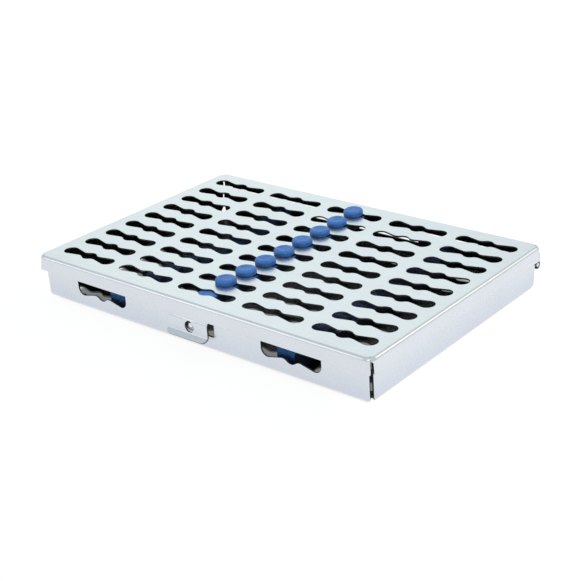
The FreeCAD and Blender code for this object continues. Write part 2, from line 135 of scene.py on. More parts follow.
HINGE = joint_mm("lid_hinge") - SHIFT
HINGE_Y, HINGE_Z = HINGE.y, HINGE.z
BARREL_R = 1.9
ROLL_R = BARREL_R - SHEET / 2
TRAY_REAR = HINGE_Y - BARREL_R + SHEET
KNUCKLE_LENGTH = (PIN_HIGH.x - PIN_LOW.x) / 3
KNUCKLE_GAP = 0.5
LEAF_CLEARANCE = 0.4        # between the tray's leaves the rear wall ends this far below the barrel
LID_ROLL = 285              # degrees that the lid's leaf is rolled by, around the pin
TRAY_ROLL = 295             # and the tray's leaves, the other way around
LID_LEAF_CORNER = 0.3
TRAY_LEAF_CORNER = 0.2
PIN_R = 0.95
PIN_END = [(0.55, 0.03), (0.85, 0.14), (1.0, 0.35)]     # share of the radius, and how far from the end

TAB_HALF = TAB_HIGH.x
TAB_PROUD = 0.6             # the tongue steps out this far in front of the flange
TAB_STEP_TOP = 13.1
TAB_STEP_R = 1.5
TAB_ROOT_R = 0.6            # fillets between the flange's edge and the tongue
TAB_FOLD_Z = 6.3            # where the lip turns out
LIP_ANGLE = 55.0            # degrees from straight down
LIP_BEND_R = 1.0
LIP_LENGTH = 2.41
LIP_CORNER_R = 2.2
TONGUE_PIECE = 0.8          # its straight runs are divided at about this length, to let it bend
CATCH_X = 1.0
CATCH_Z = 9.25
CATCH_HOLE_R = 2.5
STUD_X = 0.5
STUD_HEAD_HEIGHT = 0.95
# radius and share of the height of its crown; radius, and height inside the wall, of its tail
STUD_CROWN = [(0, 1.0), (0.5, 0.98), (0.95, 0.87), (1.3, 0.62), (1.52, 0.3), (1.7, 0)]
STUD_TAIL = [(1.8, 0), (1.8, 0.35), (1.65, 0.5), (0.5, 0.48), (0, 0.4)]
STUD_SHANK_R = 1.0

BUTTON_ROWS = 8             # counted from the rear row of slots
REAR_ROW_Y = PITCH_Y * (ROWS - 1) / 2 + GRID_Y
BUTTON_FORWARD = 0.6        # the buttons sit this far in front of the middles of their slots
BUTTON_YS = [REAR_ROW_Y - BUTTON_FORWARD - row * PITCH_Y for row in range(BUTTON_ROWS)]
BUTTON_R = 4.6
BUTTON_RIM_R = 1.25         # rounding of the head's upper edge
BUTTON_LOW_R = 0.22         # and of its lower edge
BUTTON_FLAT_INSET = 0.3     # the head's flat underside ends this far from its rim
BUTTON_LIFT = 0.02          # the head's clearance from the sheet
BUTTON_CUP = [(2.45, 0.02), (2.1, 0.1), (1.8, 0.16), (1.0, 0.17), (0.5, 0.15), (0, 0.15)]   # radius, depth
BUTTON_STEM_R = 2.6
BUTTON_STEM_DEPTH = 0.6     # the stem goes this far into the strip
BUTTON_NECK = (0.15, 0.05)  # the stem widens by the first number, from the second below the sheet's face
LID_BUTTON_SUNK = 0.4       # the lid's buttons stand this much lower than those that are the feet
STRIP_EDGE_R = 0.5
NOTCHES = 10
NOTCH_PITCH = 11.4
NOTCH_R = 3.3
CREST_R = 2.6

RIGHT_ANGLE = math.pi / 2
SHARP_ANGLE = 60.0          # degrees; edges that turn by more are drawn sharp
OUTER, INNER, CUT = range(3)    # the places of a sheet's materials in SHEET_STEEL
INNER_LEAN, OUTER_LEAN = -0.7, 0.5      # cut edges lean to the outer side by an amount between these


# ---- plane outlines ----
def arc_points(x, y, radius, start, end, steps):
    """Points on a circle from one angle to another, in degrees."""
    angles = [math.radians(start + (end - start) * step / steps) for step in range(steps + 1)]
    return [(x + radius * math.cos(angle), y + radius * math.sin(angle)) for angle in angles]


def lobed_quarter(lobe_x, lobe_r, middle_r, neck_x, neck_half, steps=7):
    """A quarter of the three-lobed outline, from the tip of an end lobe to the top of the middle lobe."""
    fillet_r = (neck_x ** 2 + neck_half ** 2 - middle_r ** 2) / (2 * (middle_r - neck_half))
    fillet_y = neck_half + fillet_r
    reach = math.hypot(lobe_x - neck_x, fillet_y)
    touch = math.atan2(fillet_y, neck_x - lobe_x) - math.acos((lobe_r + fillet_r) / reach)
    touch = math.degrees(touch)
    turn = math.degrees(math.atan2(neck_x, fillet_y))
    return (arc_points(lobe_x, 0, lobe_r, 0, touch, 2 * steps)
            + arc_points(neck_x, fillet_y, fillet_r, touch - 180, -90 - turn, steps)
            + arc_points(0, 0, middle_r, 90 - turn, 90, steps)[1:])


def lobed_outline(x, y):
    quarter = lobed_quarter(**SLOT)
    points = quarter + [(-a, b) for a, b in reversed(quarter[:-1])]
    points += [(-a, -b) for a, b in quarter[1:]] + [(a, -b) for a, b in reversed(quarter[1:-1])]
    return [(x + a, y + b) for a, b in points]


def rounded_box(left, right, low, high, radius, steps=5):
    return (arc_points(right - radius, high - radius, radius, 0, 90, steps)
            + arc_points(left + radius, high - radius, radius, 90, 180, steps)
            + arc_points(left + radius, low + radius, radius, 180, 270, steps)
            + arc_points(right - radius, low + radius, radius, 270, 360, steps))


def corner_rounding(radius, left):
    """How far a rounded corner has drawn in where only `left` of the edge's length is left."""
    if left >= radius:
        return 0.0
    return radius - math.sqrt(radius ** 2 - (radius - left) ** 2)


def slots():
    return [lobed_outline((column - (COLUMNS - 1) / 2) * PITCH_X, REAR_ROW_Y - row * PITCH_Y)
            for column in range(COLUMNS) for row in range(ROWS)]


# ---- sheets: a flat blank, scored along its bend lines and folded ----
def cut_blank(name, outlines, thickness, rounding, resolution=1):
    """A plate about z = 0 cut to the first outline, with the others as holes, and its edges rounded."""
    curve = bpy.data.curves.new(name, "CURVE")
    curve.dimensions = "2D"
    curve.fill_mode = "BOTH"
    curve.extrude = thickness / 2 - rounding
    curve.bevel_depth = rounding
    curve.bevel_resolution = resolution
    curve.offset = -rounding
    for outline in outlines:
        spline = curve.splines.new("POLY")
        spline.points.add(len(outline) - 1)
        for point, (x, y) in zip(spline.points, outline):
            point.co = (x, y, 0, 1)
        spline.use_cyclic_u = True
    holder = bpy.data.objects.new(name, curve)
    mesh = bpy.data.meshes.new_from_object(holder)
    plate = bmesh.new()
    plate.from_mesh(mesh)
    bpy.data.objects.remove(holder)
    bpy.data.curves.remove(curve)
    bpy.data.meshes.remove(mesh)
    bmesh.ops.remove_doubles(plate, verts=plate.verts, dist=WELD)
    bmesh.ops.recalc_face_normals(plate, faces=plate.faces)
    return plate


def split(plate, point, normal, drop_beyond=False, drop_before=False):
    """Put an edge where a plane crosses, and drop what lies on one of its sides if asked to."""
    geometry = plate.verts[:] + plate.edges[:] + plate.faces[:]
    return bmesh.ops.bisect_plane(plate, geom=geometry, dist=ON_PLANE, plane_co=point, plane_no=normal,
                                  clear_outer=drop_beyond, clear_inner=drop_before)


def close_cut(plate, cut):
    """Fill the opening that a cut left."""
    rim = [item for item in cut["geom_cut"] if isinstance(item, bmesh.types.BMEdge)]
    bmesh.ops.edgenet_fill(plate, edges=rim)


def along(path, distance):
    """How far out and up a sheet's middle surface has come, and how far it has turned, at a distance
    along a path of (length, turn) pieces. A positive turn folds it down."""
    out = up = angle = 0.0
    for index, (length, turn) in enumerate(path):
        part = distance if index == len(path) - 1 else min(distance, length)
        if turn:
            radius = length / turn
            turned = angle + turn * part / length
            out += radius * (math.sin(turned) - math.sin(angle))
            up += radius * (math.cos(turned) - math.cos(angle))
            angle = turned
        else:
            out += part * math.cos(angle)
            up -= part * math.sin(angle)
        distance -= part
        if distance <= 0:
            break
    return out, up, angle


def bend(radius, degrees):
    """A bend as a piece of a path: its length along the middle of the sheet, and its turn."""
    turn = math.radians(degrees)
    return abs(radius * turn), turn


def run_of(path):
    return sum(length for length, turn in path)


def score_lines(path, straight_step=None):
    """Distances at which a blank needs an edge so that it can follow the path."""
    lines = [0.0]
    for length, turn in path:
        start = lines[-1]
        steps = max(1, round(abs(turn) / math.radians(BEND_STEP)))
        if not turn and straight_step:
            steps = max(1, round(length / straight_step))
        lines += [start + length * (step + 1) / steps for step in range(steps)]
    return lines[:-1]


def rounding_steps(radius, end, steps=6):
    """Distances that follow a corner of that radius, rounded off before the end."""
    return [end - radius * (1 - math.sin(math.radians(90 * step / steps))) for step in range(steps + 1)]


class Pan:
    """A flat with four folded walls. `face` is 1 where its outer side is the top, and -1 where it is below.
    Folds with a mitre gap are kept behind the diagonals of the corners."""

    def __init__(self, half_x, front, rear, bend_r, middle_z, face, mitre_gap):
        self.flat_x = half_x - bend_r
        self.front = front + bend_r
        self.rear = rear - bend_r
        self.middle_r = bend_r - SHEET / 2
        self.middle_z = middle_z
        self.face = face
        self.mitre_gap = mitre_gap

    def side_of(self, x, y):
        """Which wall a point of the blank belongs to, and how far beyond the wall's fold line it is."""
        beyond = {"side": abs(x) - self.flat_x, "front": self.front - y, "rear": y - self.rear}
        side = max(beyond, key=beyond.get)
        return (side, beyond[side]) if beyond[side] > 0 else ("floor", 0.0)

    def mitred(self, value, low, high, reach):
        """Keep the end of a fold behind the corner's diagonal."""
        if self.mitre_gap is None:
            return value
        return min(max(value, low - reach + self.mitre_gap), high + reach - self.mitre_gap)

    def fold(self, plate, path_of):
        """Bend the blank, and give its outer faces, inner faces and cut edges their materials."""
        for face in plate.faces:
            lean = face.normal.z * self.face
            face.material_index = INNER if lean < INNER_LEAN else CUT if lean < OUTER_LEAN else OUTER
        for vertex in plate.verts:
            x, y, lift = vertex.co
            side, beyond = self.side_of(x, y)
            if side == "floor":
                vertex.co.z = self.middle_z + lift
                continue
            out, up, angle = along(path_of(side, x), beyond)
            outward = lift * self.face
            reach = out + outward * math.sin(angle)
            z = self.middle_z + self.face * (up + outward * math.cos(angle))
            if side == "side":
                y = self.mitred(y, self.front, self.rear, reach)
                vertex.co = (math.copysign(self.flat_x + reach, x), y, z)
            else:
                x = self.mitred(x, -self.flat_x, self.flat_x, reach)
                vertex.co = (x, self.front - reach if side == "front" else self.rear + reach, z)

    def soften_corners(self, plate, radius_at, rear=True):
        """Round off the front corners in plan, and the rear ones if asked to, by a radius for each height."""
        mid_y = (self.front + self.rear) / 2
        fold = self.middle_r + SHEET / 2
        for vertex in plate.verts:
            if vertex.co.y > mid_y and not rear:
                continue
            radius = radius_at(vertex.co.z)
            core_x = self.flat_x + fold - radius
            core_y = (self.rear - self.front) / 2 + fold - radius
            u = abs(vertex.co.x) - core_x
            v = abs(vertex.co.y - mid_y) - core_y
            if u > 0 and v > 0:
                shrink = max(u, v) / math.hypot(u, v)
                vertex.co.x = math.copysign(core_x + u * shrink, vertex.co.x)
                vertex.co.y = mid_y + math.copysign(core_y + v * shrink, vertex.co.y - mid_y)

    def score_corners(self, plate, radius, steps=5):
        """Edges near the corners, so that these can be rounded off."""
        fold = self.middle_r + SHEET / 2
        for step in range(steps):
            inset = radius * (1 - step / steps) - fold
            if inset > 0:
                split(plate, (self.flat_x - inset, 0, 0), (1, 0, 0))
                split(plate, (inset - self.flat_x, 0, 0), (1, 0, 0))
                split(plate, (0, self.front + inset, 0), (0, 1, 0))
                split(plate, (0, self.rear - inset, 0), (0, 1, 0))

    def score(self, plate, front_lines, rear_lines, side_lines):
        """Edges across the walls, at distances from the fold lines."""
        for distance in front_lines:
            split(plate, (0, self.front - distance, 0), (0, -1, 0))
        for distance in rear_lines:
            split(plate, (0, self.rear + distance, 0), (0, 1, 0))
        for distance in side_lines:
            split(plate, (self.flat_x + distance, 0, 0), (1, 0, 0))
            split(plate, (-self.flat_x - distance, 0, 0), (-1, 0, 0))


def knuckle_ends(index):
    """The X range of one of the three knuckles, from the left."""
    start = PIN_LOW.x + index * KNUCKLE_LENGTH
    low = start + (KNUCKLE_GAP / 2 if index > 0 else 0)
    high = start + KNUCKLE_LENGTH - (KNUCKLE_GAP / 2 if index < 2 else 0)
    return low, high


# ---- lid and latch tongue, one blank ----
LID = Pan(LID_X, -LID_Y, LID_Y, LID_BEND_R, BOX_HEIGHT - SHEET / 2, 1, LID_MITRE_GAP)
LID_FOLD_Z = BOX_HEIGHT - LID_BEND_R
LID_FOLD = bend(LID_MID_R, 90)
FLANGE = [LID_FOLD, (LID_FOLD_Z - LID_FLANGE_Z, 0)]
FLANGE_RUN = run_of(FLANGE)

LID_LEAF = [LID_FOLD, (LID_FOLD_Z - HINGE_Z, 0), bend(ROLL_R, LID_ROLL)]

TAB_STEP_ANGLE = math.degrees(math.acos(1 - TAB_PROUD / (2 * TAB_STEP_R)))
TAB_STEP_DROP = 2 * TAB_STEP_R * math.sin(math.radians(TAB_STEP_ANGLE))
LIP_START_Z = TAB_FOLD_Z + LIP_BEND_R * math.tan(math.radians(LIP_ANGLE / 2))
TONGUE = [LID_FOLD, (LID_FOLD_Z - TAB_STEP_TOP, 0),
          bend(TAB_STEP_R, -TAB_STEP_ANGLE), bend(TAB_STEP_R, TAB_STEP_ANGLE),
          (TAB_STEP_TOP - TAB_STEP_DROP - LIP_START_Z, 0), bend(LIP_BEND_R, -LIP_ANGLE), (LIP_LENGTH, 0)]
TONGUE_RUN = run_of(TONGUE)
LIP_RUN = run_of(TONGUE[-2:])
JUST_BESIDE = 0.01          # points this close beside the lid's leaf count as part of it
JUST_PAST = 0.005           # the tongue is cut from the lid this far past the flange's edge


def lid_path(side, x):
    if side == "front" and abs(x) < TAB_HALF + TAB_ROOT_R:
        return TONGUE
    low, high = knuckle_ends(1)
    if side == "rear" and low - JUST_BESIDE <= x <= high + JUST_BESIDE:
        return LID_LEAF
    return FLANGE


def lid_end(flat, distance, gap):
    """How far a flange reaches along its wall: mitred through the fold, then set back from the corner."""
    if distance <= LID_FOLD[0]:
        return flat + LID_BEND_R * math.sin(distance / LID_MID_R) - LID_MITRE_GAP
    opened = min(1.0, (distance - LID_FOLD[0]) / LID_GAP_RUN)
    widening = (gap - LID_MITRE_GAP) * math.sqrt(1 - (1 - opened) ** 2)
    rounding = corner_rounding(FLANGE_CORNER_R, FLANGE_RUN - distance)
    return flat + LID_BEND_R - LID_MITRE_GAP - widening - rounding


def lid_end_steps():
    """Where a flange's end needs points: through the fold, where the gap opens, and at the lower corner."""
    steps = [LID_FOLD[0] * step / 6 for step in range(7)]
    steps += [LID_FOLD[0] + LID_GAP_RUN * share for share in (0.06, 0.2, 0.45, 1.0)]
    return steps + rounding_steps(FLANGE_CORNER_R, FLANGE_RUN)


def lid_blank():
    """The right half of the outline, from the tongue's tip round to the leaf, and its mirror image."""
    steps = lid_end_steps()
    edge = LID.front - FLANGE_RUN
    tip = LID.front - TONGUE_RUN
    half = arc_points(TAB_HALF - LIP_CORNER_R, tip + LIP_CORNER_R, LIP_CORNER_R, -90, 0, 8)
    half += arc_points(TAB_HALF + TAB_ROOT_R, edge - TAB_ROOT_R, TAB_ROOT_R, 180, 90, 4)
    half += [(lid_end(LID.flat_x, s, LID_LONG_GAP), LID.front - s) for s in reversed(steps)]
    half += [(LID.flat_x + s, -lid_end(LID.rear, s, LID_SHORT_GAP)) for s in steps]
    half += [(LID.flat_x + s, lid_end(LID.rear, s, LID_SHORT_GAP)) for s in reversed(steps)]
    half += [(lid_end(LID.flat_x, s, LID_LONG_GAP), LID.rear + s) for s in steps]
    leaf = knuckle_ends(1)[1]
    half += [(leaf + LID_LEAF_CORNER, LID.rear + FLANGE_RUN), (leaf, LID.rear + FLANGE_RUN + LID_LEAF_CORNER),
             (leaf, LID.rear + run_of(LID_LEAF))]
    outline = half + [(-x, y) for x, y in reversed(half)]
    catch_y = tip + LIP_RUN + (CATCH_Z - LIP_START_Z)
    hole = arc_points(CATCH_X, catch_y, CATCH_HOLE_R, 0, 360, 40)[:-1]
    return cut_blank("lid", [outline, hole] + slots(), SHEET, CUT_EDGE)


def dish(shape):
    """Sink the flat of the lid, and what is fastened to it, towards its middle."""
    for vertex in shape.verts:
        across = min(1.0, abs(vertex.co.x / LID.flat_x))
        deep = min(1.0, abs(2 * vertex.co.y / (LID.rear - LID.front)))
        vertex.co.z -= DISH * (1 - across ** 2) * (1 - deep ** 2)


def lid_corner_r(z):
    sunk = min(1.0, (BOX_HEIGHT - z) / (BOX_HEIGHT - LID_FLANGE_Z))
    return LID_CORNER_TOP_R + (LID_CORNER_LOW_R - LID_CORNER_TOP_R) * sunk


def lid_and_tongue():
    """Both come from one blank, which is cut in two at the tongue's root."""
    sheet = lid_blank()
    rear_lines = score_lines(FLANGE) + score_lines(LID_LEAF)[1:]
    LID.score(sheet, score_lines(TONGUE, TONGUE_PIECE), rear_lines, score_lines(FLANGE))
    place = (0, LID.front - FLANGE_RUN - JUST_PAST, 0)
    tongue = sheet.copy()
    close_cut(sheet, split(sheet, place, (0, -1, 0), drop_beyond=True))
    close_cut(tongue, split(tongue, place, (0, -1, 0), drop_before=True))
    # edges across the flat, which let it be dished
    for step in range(1, 2 * ROWS):
        split(sheet, (0, LID.front + (LID.rear - LID.front) * step / (2 * ROWS), 0), (0, 1, 0))
    for step in range(1, 4 * COLUMNS):
        split(sheet, (LID.flat_x * (step / (2 * COLUMNS) - 1), 0, 0), (1, 0, 0))
    LID.score_corners(sheet, LID_CORNER_TOP_R)
    LID.fold(sheet, lid_path)
    LID.fold(tongue, lid_path)
    LID.soften_corners(sheet, lid_corner_r)
    dish(sheet)
    return sheet, tongue


# ---- tray ----
TRAY = Pan(TRAY_X, TRAY_FRONT, TRAY_REAR, TRAY_BEND_R, SHEET / 2, -1, None)
TRAY_FOLD = bend(TRAY_MID_R, 90)
WALL = [TRAY_FOLD, (TRAY_WALL_TOP - TRAY_BEND_R, 0)]
WALL_RUN = run_of(WALL)
REAR_ROLL = [TRAY_FOLD, (HINGE_Z - TRAY_BEND_R, 0), bend(ROLL_R, -TRAY_ROLL)]
REAR_LOW_RUN = TRAY_FOLD[0] + HINGE_Z - BARREL_R - LEAF_CLEARANCE - TRAY_BEND_R


def tray_path(side, x):
    return REAR_ROLL if side == "rear" else WALL


def tray_end(flat, distance, gap):
    """How far a wall reaches towards the corner: mitred through the fold, and rounded off at the top."""
    angle = min(distance / TRAY_MID_R, RIGHT_ANGLE)
    rounding = corner_rounding(TRAY_TOP_CORNER_R, WALL_RUN - distance)
    return flat + TRAY_BEND_R * math.sin(angle) - gap - rounding


def side_wall_rear(distance):
    """The rear end of a side wall, which is rounded off where it meets the floor."""
    out, up, angle = along(WALL, distance)
    z = max(0.0, -up)
    rounded = TRAY_REAR - corner_rounding(TRAY_REAR_CORNER_R, z)
    return min(tray_end(TRAY.rear, distance, TRAY_REAR_GAPS[1]), rounded)


def relief(corner_y, inward, arc):
    return arc_points(TRAY.flat_x - RELIEF_INSET, corner_y + inward * RELIEF_INSET, RELIEF_R, *arc, 10)


def wall_y(z):
    """Where height z on the front wall lies on the blank."""
    return TRAY.front - TRAY_FOLD[0] - (z - TRAY_BEND_R)


def vent_outline(x):
    quarter = lobed_quarter(**VENT)
    end = VENT["lobe_x"] + VENT["lobe_r"]
    points = [(a, VENT_LOBE_Z - b) for a, b in quarter]
    points += [(-a, VENT_LOBE_Z - b) for a, b in reversed(quarter[:-1])]
    points += arc_points(-end + VENT_CORNER_R, VENT_TOP - VENT_CORNER_R, VENT_CORNER_R, 180, 90, 5)
    points += arc_points(end - VENT_CORNER_R, VENT_TOP - VENT_CORNER_R, VENT_CORNER_R, 90, 0, 5)
    return [(x + a, wall_y(z)) for a, z in points]


def tray_blank():
    """The right half of the outline, from the front wall round to the knuckle, and its mirror image."""
    fold = TRAY_FOLD[0]
    through_fold = [fold * step / 8 for step in range(3, 9)]
    to_top = rounding_steps(TRAY_TOP_CORNER_R, WALL_RUN)
    rear_steps = through_fold + [fold + HINGE_Z - TRAY_BEND_R]
    lower_steps = [fold * step / 12 for step in range(2, 12)] + [fold]
    half = [(tray_end(TRAY.flat_x, s, TRAY_FRONT_GAPS[0]), TRAY.front - s)
            for s in reversed(through_fold + to_top)]
    half += relief(TRAY.front, 1, FRONT_RELIEF_ARC)
    half += [(TRAY.flat_x + s, -tray_end(-TRAY.front, s, TRAY_FRONT_GAPS[1])) for s in through_fold + to_top]
    half += [(TRAY.flat_x + s, side_wall_rear(s)) for s in reversed(lower_steps + to_top)]
    half += relief(TRAY.rear, -1, REAR_RELIEF_ARC)
    half += [(tray_end(TRAY.flat_x, s, TRAY_REAR_GAPS[0]), TRAY.rear + s) for s in rear_steps]
    low, high = knuckle_ends(2)
    roll_end = TRAY.rear + run_of(REAR_ROLL)
    half += [(high, TRAY.rear + rear_steps[-1] + TRAY_LEAF_CORNER), (high, roll_end), (low, roll_end),
             (low, TRAY.rear + REAR_LOW_RUN)]
    outline = half + [(-x, y) for x, y in reversed(half)]
    window = [(x, wall_y(z)) for x, z in rounded_box(WINDOW_LEFT, WINDOW_RIGHT, WINDOW_LOW, WINDOW_HIGH,
                                                     WINDOW_CORNER_R)]
    openings = [window, vent_outline(-VENT_X), vent_outline(VENT_X)] + slots()
    return cut_blank("tray", [outline] + openings, SHEET, CUT_EDGE)


def tray_corner_r(z):
    """The rounding grows from that of the fold up the wall."""
    return TRAY_BEND_R + (TRAY_CORNER_R - TRAY_BEND_R) * min(1.0, z / TRAY_BEND_R)


def tray_sheet():
    plate = tray_blank()
    TRAY.score(plate, score_lines(WALL), score_lines(REAR_ROLL) + [REAR_LOW_RUN], score_lines(WALL))
    TRAY.score_corners(plate, TRAY_CORNER_R)
    TRAY.fold(plate, tray_path)
    TRAY.soften_corners(plate, tray_corner_r, rear=False)
    return plate


# ---- turned pieces and silicone ----
def revolve(profile, steps):
    """A solid of revolution about Z from (radius, height) points that start and end on the axis."""
    solid = bmesh.new()
    rings = []
    for radius, height in profile:
        if radius < 1e-6:
            rings.append([solid.verts.new((0, 0, height))])
            continue
        rings.append([solid.verts.new((radius * math.cos(math.tau * step / steps),
                                       radius * math.sin(math.tau * step / steps), height))
                      for step in range(steps)])
    for lower, upper in zip(rings, rings[1:]):
        for step in range(steps):
            nxt = (step + 1) % steps
            corners = [lower[step % len(lower)], lower[nxt % len(lower)],
                       upper[nxt % len(upper)], upper[step % len(upper)]]
            unique = list(dict.fromkeys(corners))
            if len(unique) > 2:
                solid.faces.new(unique)
    bmesh.ops.recalc_face_normals(solid, faces=solid.faces)
    return solid


def join(target, part, matrix):
    """Add a transformed copy of one bmesh to another."""
    mesh = bpy.data.meshes.new("part")
    part.to_mesh(mesh)
    mesh.transform(matrix)
    target.from_mesh(mesh)
    bpy.data.meshes.remove(mesh)


def button_profile(height):
    """A mushroom button: stem, undercut, rounded rim, and a shallow dished top with a raised middle."""
    stem_end = -SHEET - BUTTON_STEM_DEPTH
    widening, drop = BUTTON_NECK
    profile = [(0, stem_end), (BUTTON_STEM_R, stem_end), (BUTTON_STEM_R, -drop),
               (BUTTON_STEM_R + widening, BUTTON_LIFT), (BUTTON_R - BUTTON_FLAT_INSET, BUTTON_LIFT)]
    profile += arc_points(BUTTON_R - BUTTON_LOW_R, BUTTON_LIFT + BUTTON_LOW_R, BUTTON_LOW_R, -80, 0, 4)
    profile += arc_points(BUTTON_R - BUTTON_RIM_R, height - BUTTON_RIM_R, BUTTON_RIM_R, 8, 90, 8)
    return profile + [(radius, height - depth) for radius, depth in BUTTON_CUP]


def bar_from(outline, width):
    """A bar along Y whose side outline is given as (y, z) points."""
    bar = cut_blank("bar", [outline], width, STRIP_EDGE_R, resolution=3)
    for vertex in bar.verts:
        vertex.co = (vertex.co.z, vertex.co.x, vertex.co.y)
    bmesh.ops.recalc_face_normals(bar, faces=bar.faces)
    return bar


def flat_bar(length, height, width, steps=24):
    """A plain bar, with edges across it that let it follow the dished lid."""
    outline = [(-length / 2, 0), (length / 2, 0), (length / 2, height), (-length / 2, height)]
    bar = bar_from(outline, width)
    for step in range(1, steps):
        split(bar, (0, length * (step / steps - 0.5), 0), (0, 1, 0))
    return bar


def notched_outline(length, height):
    """A row of round notches between round crests."""
    crest_z = height - CREST_R
    half_pitch = NOTCH_PITCH / 2
    notch_z = crest_z + math.sqrt((CREST_R + NOTCH_R) ** 2 - half_pitch ** 2)
    lean = math.degrees(math.asin((notch_z - crest_z) / (CREST_R + NOTCH_R)))
    first = -NOTCHES / 2 * NOTCH_PITCH
    points = [(length / 2, 0), (length / 2, height)]
    for index in range(NOTCHES, -1, -1):
        y = first + index * NOTCH_PITCH
        start = 90 if index == NOTCHES else lean
        end = 90 if index == 0 else 180 - lean
        points += arc_points(y, crest_z, CREST_R, start, end, 10)
        if index:
            points += arc_points(y - half_pitch, notch_z, NOTCH_R, -lean, lean - 180, 12)[1:-1]
    return points + [(-length / 2, height), (-length / 2, 0)]


def silicone_strip(bar, x, floor_z, flip):
    """A bar with its row of buttons; flip hangs it from the lid."""
    strip = bmesh.new()
    turn = Matrix.Rotation(math.pi, 4, "Y")
    upright = Matrix.Identity(4)
    join(strip, bar, Matrix.Translation((x, 0, floor_z)) @ (turn if flip else upright))
    button = revolve(button_profile(SHIFT.z - (LID_BUTTON_SUNK if flip else 0.0)), 48)
    for y in BUTTON_YS:
        if flip:
            place = Matrix.Translation((x, y, floor_z + SHEET))
        else:
            place = Matrix.Translation((x, y, floor_z - SHEET)) @ turn
        join(strip, button, place)
    if flip:
        dish(strip)
    return strip


def rivet():
    """The catch stud: a crown in front of the wall, a shank through it and a flat tail inside."""
    profile = [(radius, -STUD_HEAD_HEIGHT * share) for radius, share in STUD_CROWN]
    profile += [(STUD_SHANK_R, 0), (STUD_SHANK_R, SHEET)]
    profile += [(radius, SHEET + height) for radius, height in STUD_TAIL]
    stud = revolve(profile, 32)
    place = Matrix.Translation((STUD_X, TRAY_FRONT, CATCH_Z))
    bmesh.ops.transform(stud, verts=stud.verts, matrix=place @ Matrix.Rotation(-RIGHT_ANGLE, 4, "X"))
    return stud


def pin():
    """The wire through the knuckles, with rounded ends."""
    half = (PIN_HIGH.x - PIN_LOW.x) / 2
    left = [(0, -half)] + [(PIN_R * share, inset - half) for share, inset in PIN_END] + [(PIN_R, -half / 3)]
    rod = revolve(left + [(radius, -x) for radius, x in reversed(left)], 28)
    place = Matrix.Translation((0, HINGE_Y, HINGE_Z))
    bmesh.ops.transform(rod, verts=rod.verts, matrix=place @ Matrix.Rotation(RIGHT_ANGLE, 4, "Y"))
    return rod


# ---- materials, with lengths in metres ----
NOISE_LOW, NOISE_HIGH = 0.3, 0.7        # most of a noise's values lie between these
MOTTLE_SCALE, GRAIN_SCALE = 45.0, 2600.0
GRAIN_DEPTH = 0.00002
PAINTED_SHADE_REACH = 0.08                    # surroundings beyond this don't count
# painted shade: the open share of the surroundings at which a colour is darkest and at which it is full, and
# how dark
STEEL_PAINTED_SHADE = (0.4, 0.66, 0.03)
SILICONE_PAINTED_SHADE = (0.3, 0.52, 0.03)
# painted reflection of shade down the walls: its darkest colour, and the heights between which it fades
FOOT_PAINTED_SHADE = (0.86, 0.885, 0.93, 1)
FOOT_RANGE = (0.004, 0.0165)            # heights between which the tint fades


def nodes_of(name):
    material = bpy.data.materials.new(name)
    material.use_nodes = True
    tree = material.node_tree
    return material, tree, tree.nodes["Principled BSDF"]


def noise(tree, scale, stretch):
    """Noise in object space, with its own scale along X, Y and Z."""
    coordinates = tree.nodes.new("ShaderNodeTexCoord")
    mapping = tree.nodes.new("ShaderNodeMapping")
    mapping.inputs["Scale"].default_value = stretch
    texture = tree.nodes.new("ShaderNodeTexNoise")
    texture.inputs["Scale"].default_value = scale
    texture.inputs["Detail"].default_value = 3.0
    tree.links.new(coordinates.outputs["Object"], mapping.inputs["Vector"])
    tree.links.new(mapping.outputs["Vector"], texture.inputs["Vector"])
    return texture.outputs["Fac"]


def ramp(tree, value, low, high, start=NOISE_LOW, end=NOISE_HIGH):
    """Colours between two, as a value goes from the start to the end."""
    node = tree.nodes.new("ShaderNodeValToRGB")
    node.color_ramp.elements[0].position = start
    node.color_ramp.elements[1].position = end
    node.color_ramp.elements[0].color = low
    node.color_ramp.elements[1].color = high
    tree.links.new(value, node.inputs["Fac"])
    return node.outputs["Color"]


def spread(tree, value, low, high):
    """Numbers between two, from a noise."""
    node = tree.nodes.new("ShaderNodeMapRange")
    node.inputs["From Min"].default_value = NOISE_LOW
    node.inputs["From Max"].default_value = NOISE_HIGH
    node.inputs["To Min"].default_value = low
    node.inputs["To Max"].default_value = high
    tree.links.new(value, node.inputs["Value"])
    return node.outputs["Result"]


def bump(tree, shader, height, strength, distance):
    node = tree.nodes.new("ShaderNodeBump")
    node.inputs["Strength"].default_value = strength
    node.inputs["Distance"].default_value = distance
    tree.links.new(height, node.inputs["Height"])
    tree.links.new(node.outputs["Normal"], shader.inputs["Normal"])


def painted_enclosed_shade(tree, color, closed_in, in_the_open, darkest):
    """Painted shade: darken a colour where the surface is closed in, as the inside of the shut box is."""
    shelter = tree.nodes.new("ShaderNodeAmbientOcclusion")
    shelter.samples = 6
    shelter.inputs["Distance"].default_value = PAINTED_SHADE_REACH
    opened = tree.nodes.new("ShaderNodeMapRange")
    opened.inputs["From Min"].default_value = closed_in
    opened.inputs["From Max"].default_value = in_the_open
    opened.inputs["To Min"].default_value = darkest
    opened.inputs["To Max"].default_value = 1.0
    scaled = tree.nodes.new("ShaderNodeVectorMath")
    scaled.operation = "SCALE"
    tree.links.new(shelter.outputs["AO"], opened.inputs["Value"])
    tree.links.new(color, scaled.inputs[0])
    tree.links.new(opened.outputs["Result"], scaled.inputs["Scale"])
    return scaled.outputs["Vector"]


